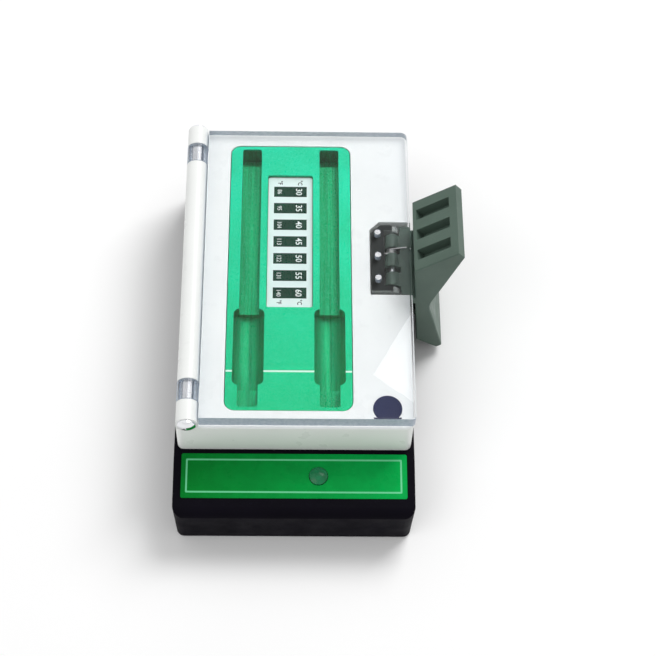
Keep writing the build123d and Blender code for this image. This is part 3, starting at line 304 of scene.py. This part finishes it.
def label_film():
    """Printed green film behind a glossy face, with painted light making it lighter towards the right."""
    s = Shade("label_film").set(Specular_IOR_Level=0.06)
    # Painted light: the film turns lighter towards the right, where the light falls.
    painted_light_to_right = s.span(s.axes(s.coords)[0], 0.0, 1.0, -0.045, 0.045)
    body = s.mix(painted_light_to_right, srgb(0, 126, 42), srgb(0, 170, 76))
    cloud = s.ramp(s.noise(160.0, 5.0, 0.6), grey(0.86), grey(1.0), 0.35, 0.65)
    s.color(s.mix(1.0, body, cloud, "MULTIPLY"))
    s.rough(s.span(s.noise(220.0, 3.0), 0.22, 0.38))
    return s.bump(s.noise(700.0, 3.0), 0.012 * MM).mat


def board_mask():
    """Solder mask with copper tracks showing faintly through it."""
    s = Shade("board_mask").set(Coat_Weight=0.3, Coat_Roughness=0.2)
    tracks = s.cell_edges(220.0)
    s.color(s.ramp(tracks, srgb(20, 110, 62), srgb(8, 70, 40), 0.04, 0.09))
    s.rough(s.span(s.noise(200.0), 0.35, 0.5))
    return s.bump(tracks, 0.03 * MM).mat


def felt():
    """Pale felted fibre."""
    s = Shade("felt")
    fibre = s.noise(900.0, 5.0, 0.7, stretch=(1.0, 3.0, 1.0))
    s.color(s.ramp(fibre, srgb(196, 196, 186), srgb(232, 232, 224)))
    s.rough(s.span(fibre, 0.8, 0.95))
    return s.bump(fibre, 0.2 * MM).mat


def floor_paper():
    """Nearly white matt paper."""
    s = Shade("floor_paper").set(Roughness=0.9, Specular_IOR_Level=0.1)
    return s.color(s.ramp(s.noise(8.0, 2.0), grey(0.97), grey(0.985))).mat


# Finishes of the CAD pieces


def wear(material, *names):
    for name in names:
        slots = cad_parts[name].data.materials
        slots.clear()
        slots.append(material)


def dress_mouldings():
    black = plastic(
        "black_moulding", srgb(8, 6, 14), (0.45, 0.62), 1500.0, depth=0.04, vary=0.2, shine=0.04,
    )
    white = plastic(
        "white_moulding", srgb(240, 242, 240), (0.25, 0.4), 1200.0, depth=0.008, vary=0.012, shine=0.25,
    )
    latch = plastic(
        "latch_moulding", srgb(86, 104, 94), (0.36, 0.52), 1100.0, depth=0.025, vary=0.08,
    )
    bracket = plastic(
        "bracket_moulding", srgb(150, 156, 152), (0.36, 0.52), 1100.0, depth=0.02, vary=0.08,
    )
    bumper = plastic(
        "bumper_rubber", srgb(30, 36, 72), (0.5, 0.7), depth=0.08, vary=0.25, shine=0.15,
    )
    foot = plastic(
        "foot_rubber", srgb(20, 20, 20), (0.65, 0.85), depth=0.08, vary=0.15, shine=0.1,
    )
    wear(black, "base_housing", "base_plate", "dc_inlet")
    wear(white, "upper_housing")
    wear(latch, "latch_lever")
    wear(bracket, "latch_bracket")
    wear(bumper, "lid_bumper")
    wear(foot, "rubber_feet")
    wear(clear_acrylic(), "lid")
    wear(button_lens(), "start_button")


def dress_metals():
    steel = metal("ground_steel", (0.62, 0.63, 0.65), (0.18, 0.34), stretch=(60.0, 1.0, 60.0))
    zinc = metal("zinc_screw", grey(0.6), (0.25, 0.42), 900.0, depth=0.01)
    chrome = metal("polished_cap", (0.82, 0.83, 0.85), (0.03, 0.1), 300.0, depth=0.002)
    brass = metal("nickelled_brass", (0.74, 0.66, 0.5), (0.22, 0.38), 500.0)
    wear(steel, "hinge_pin", "latch_pin", "temperature_sensor")
    wear(zinc, "base_screws", "panel_screws", "upper_screws", "block_screws")
    wear(zinc, "board_screws", "latch_screws", "latch_spring")
    wear(chrome, "hinge_caps")
    wear(brass, "inlet_nut")
    wear(anodised(), "heating_block")


def dress_films():
    strip = plastic(
        "strip_film", srgb(226, 242, 238), (0.3, 0.45), depth=0.006, vary=0.015, shine=0.1,
    )
    window = plastic(
        "strip_window", srgb(6, 58, 40), (0.3, 0.42), 700.0, depth=0.004, vary=0.15, shine=0.08,
    )
    paint = plastic(
        "line_paint", srgb(214, 244, 228), (0.4, 0.6), 1500.0, depth=0.01, vary=0.03,
    )
    heater = plastic(
        "heater_film", srgb(184, 98, 30), (0.3, 0.45), 400.0, depth=0.01, vary=0.12,
    )
    wear(strip, "thermometer_strip")
    wear(window, "thermometer_windows")
    wear(paint, "line_filling")
    wear(heater, "flat_heater")
    wear(label_film(), "label_panel")
    wear(felt(), "insulation_pad")


def dress_electrics():
    dark = plastic("component_moulding", srgb(28, 28, 30), (0.4, 0.6), vary=0.1)
    nylon = plastic("nylon", srgb(222, 218, 200), (0.35, 0.55), 800.0, vary=0.03)
    red = plastic("red_sleeve", srgb(150, 28, 22), (0.4, 0.55), 700.0, depth=0.01)
    sleeve = plastic("black_sleeve", srgb(24, 24, 26), (0.4, 0.55), 700.0, depth=0.01)
    fuse = plastic("fuse_case", srgb(206, 196, 168), (0.35, 0.5), 600.0, depth=0.01)
    wear(board_mask(), "circuit_board", "panel_board")
    wear(dark, "board_components", "buzzer", "button_switch", "switch_plunger")
    wear(nylon, "board_connectors")
    wear(red, "heater_leads", "fuse_leads")
    wear(sleeve, "inlet_leads", "sensor_leads", "panel_leads")
    wear(fuse, "thermal_fuse")


# Details made here


def solid(name, bm, material):
    """Piece on the base, from a bmesh."""
    mesh = bpy.data.meshes.new(name)
    bmesh.ops.recalc_face_normals(bm, faces=bm.faces)
    bm.to_mesh(mesh)
    bm.free()
    obj = bpy.data.objects.new(name, mesh)
    bpy.context.scene.collection.objects.link(obj)
    mesh.materials.append(material)
    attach(obj, "base")


def letters(bm, words, place, size, squeeze, weight=0.0):
    """Adds words as thin raised letters, a quarter turn clockwise."""
    curve = bpy.data.curves.new("words", "FONT")
    curve.body = words
    curve.size = size
    curve.align_x = "CENTER"
    curve.align_y = "CENTER"
    curve.extrude = INK_HEIGHT
    curve.offset = weight * size
    curve.resolution_u = 2
    obj = bpy.data.objects.new("words", curve)
    bpy.context.scene.collection.objects.link(obj)
    bpy.context.view_layer.update()
    graph = bpy.context.evaluated_depsgraph_get()
    mesh = bpy.data.meshes.new_from_object(obj.evaluated_get(graph))
    turn = Matrix.Translation(place) @ Matrix.Rotation(-pi / 2, 4, "Z")
    mesh.transform(turn @ Matrix.Diagonal((squeeze, 1.0, 1.0, 1.0)))
    bm.from_mesh(mesh)
    bpy.data.objects.remove(obj)
    bpy.data.curves.remove(curve)
    bpy.data.meshes.remove(mesh)


def strip_numbers():
    """Numbers on the strip's windows, 30 to 60 degrees Celsius beside Fahrenheit, and the units."""
    low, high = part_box("thermometer_strip")
    x, y, _ = (low + high) / 2
    z = high.z + INK_LIFT
    windows_low, windows_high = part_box("thermometer_windows")
    pitch = (windows_high.y - windows_low.y - WINDOW_LENGTH) / (SCALE_ROWS - 1)
    numbers = bmesh.new()
    for row in range(SCALE_ROWS):
        row_y = y + ((SCALE_ROWS - 1) / 2 - row) * pitch
        celsius = FIRST_CELSIUS + CELSIUS_STEP * row
        fahrenheit = celsius * 9 // 5 + 32
        letters(numbers, str(celsius), (x + CELSIUS_X, row_y, z), CELSIUS_SIZE, 0.95, 0.012)
        letters(numbers, str(fahrenheit), (x + FAHRENHEIT_X, row_y, z), SMALL_SIZE, 0.87)
    light = plastic("number_white", srgb(232, 240, 236), (0.4, 0.6), depth=0.004, vary=0.02)
    solid("strip_numbers", numbers, light)

    units = bmesh.new()
    for unit_y in (y + BACK_UNIT_Y, y + FRONT_UNIT_Y):
        letters(units, "°F", (x + FAHRENHEIT_UNIT_X, unit_y, z), SMALL_SIZE, 0.85, 0.02)
        letters(units, "°C", (x + CELSIUS_UNIT_X, unit_y, z), SMALL_SIZE, 0.85, 0.02)
    inky = plastic("number_black", srgb(34, 40, 38), (0.4, 0.6), depth=0.004)
    solid("strip_units", units, inky)


def label_place():
    """Middle of the label's sloping face: x across, y up the slope, z out of it."""
    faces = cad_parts["label_panel"].data.polygons
    face = max((f for f in faces if f.normal.z > 0.9), key=lambda f: f.area)
    low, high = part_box("label_panel")
    middle = (low + high) / 2
    out = face.normal.copy()
    middle += out * out.dot(face.center - middle)
    right = Vector((1.0, 0.0, 0.0))
    turn = Matrix((right, out.cross(right), out)).transposed().to_4x4()
    return Matrix.Translation(middle) @ turn


def rounded(half_x, half_y, radius, steps=6):
    """Outline of a rectangle with round corners, anticlockwise."""
    points = []
    for corner, (sign_x, sign_y) in enumerate(((1, 1), (-1, 1), (-1, -1), (1, -1))):
        for step in range(steps + 1):
            angle = pi / 2 * (corner + step / steps)
            x = sign_x * (half_x - radius) + radius * cos(angle)
            y = sign_y * (half_y - radius) + radius * sin(angle)
            points.append((x, y))
    return points


def band(bm, inner, outer, height, place):
    """Closed flat band between two outlines with the same number of points."""
    rows = []
    for outline, z in ((outer, 0.0), (outer, height), (inner, height), (inner, 0.0)):
        rows.append([bm.verts.new(place @ Vector((x, y, z))) for x, y in outline])
    count = len(outer)
    for row, after in zip(rows, rows[1:] + rows[:1]):
        for i in range(count):
            j = (i + 1) % count
            bm.faces.new((row[i], row[j], after[j], after[i]))


def label_line():
    """Thin pale line around the label."""
    place = label_place() @ Matrix.Translation((LINE_SHIFT_X, 0.0, 0.0))
    outer = rounded(LINE_HALF_X, LINE_HALF_Y, LINE_OUTER_RADIUS)
    inner = rounded(LINE_HALF_X - LINE_WIDTH, LINE_HALF_Y - LINE_WIDTH, LINE_INNER_RADIUS)
    bm = bmesh.new()
    band(bm, inner, outer, LINE_HEIGHT, place)
    mint = plastic("label_line", srgb(104, 206, 150), (0.3, 0.45), depth=0.004, vary=0.03)
    solid("label_line", bm, mint)


def inlet_contact():
    """Contact pin and its seat inside the inlet, turned about the inlet's axis."""
    low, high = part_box("dc_inlet")
    axis_x = (low.x + high.x) / 2
    axis_z = (low.z + high.z) / 2
    bm = bmesh.new()
    rows = []
    for radius, depth in CONTACT_PROFILE:
        sides = CONTACT_SIDES if radius else 1
        row = []
        for side in range(sides):
            angle = 2 * pi * side / sides
            x = axis_x + radius * MM * cos(angle)
            z = axis_z + radius * MM * sin(angle)
            row.append(bm.verts.new((x, high.y - depth * MM, z)))
        rows.append(row)
    for row, after in zip(rows, rows[1:]):
        for i in range(CONTACT_SIDES):
            j = i + 1
            corners = (row[i % len(row)], row[j % len(row)], after[j % len(after)], after[i % len(after)])
            bm.faces.new(list(dict.fromkeys(corners)))
    bright = metal("contact_pin", (0.78, 0.76, 0.7), (0.15, 0.3), 600.0)
    solid("inlet_contact", bm, bright)


# Room


def white_world():
    """Even soft light, seen as plain white by the camera and in metal and glass."""
    world = bpy.data.worlds.new("studio")
    bpy.context.scene.world = world
    world.use_nodes = True
    world.cycles.sampling_method = "NONE"
    tree = world.node_tree
    tree.nodes.clear()
    path = tree.nodes.new("ShaderNodeLightPath")
    shown = path.outputs["Is Camera Ray"]
    for kind in ("Is Glossy Ray", "Is Transmission Ray"):
        either = tree.nodes.new("ShaderNodeMath")
        either.operation = "MAXIMUM"
        tree.links.new(shown, either.inputs[0])
        tree.links.new(path.outputs[kind], either.inputs[1])
        shown = either.outputs[0]
    choice = tree.nodes.new("ShaderNodeMixShader")
    tree.links.new(shown, choice.inputs[0])
    for socket, level in ((choice.inputs[1], WORLD_LEVEL), (choice.inputs[2], SHOWN_LEVEL)):
        light = tree.nodes.new("ShaderNodeBackground")
        light.inputs["Color"].default_value = (1.0, 1.0, 1.0, 1.0)
        light.inputs["Strength"].default_value = level
        tree.links.new(light.outputs[0], socket)
    out = tree.nodes.new("ShaderNodeOutputWorld")
    tree.links.new(choice.outputs[0], out.inputs["Surface"])


def lamps():
    """Two large square lamps that glass shows no image of."""
    for name, place, size, power in LAMPS:
        data = bpy.data.lights.new(name, "AREA")
        data.shape = "SQUARE"
        data.size = size
        data.energy = power
        lamp = bpy.data.objects.new(name, data)
        lamp.visible_transmission = False
        lamp.location = place
        lamp.rotation_euler = (LAMP_TARGET - lamp.location).to_track_quat("-Z", "Y").to_euler()
        bpy.context.scene.collection.objects.link(lamp)


def floor():
    """Pale floor just under the feet."""
    bm = bmesh.new()
    bmesh.ops.create_grid(bm, x_segments=4, y_segments=4, size=FLOOR_HALF)
    mesh = bpy.data.meshes.new("floor")
    bm.to_mesh(mesh)
    bm.free()
    mesh.materials.append(floor_paper())
    obj = bpy.data.objects.new("floor", mesh)
    obj.location.z = -FLOOR_DROP
    bpy.context.scene.collection.objects.link(obj)


camera()
dress_mouldings()
dress_metals()
dress_films()
dress_electrics()
strip_numbers()
label_line()
inlet_contact()
white_world()
lamps()
floor()
bpy.context.scene.view_settings.view_transform = "Standard"
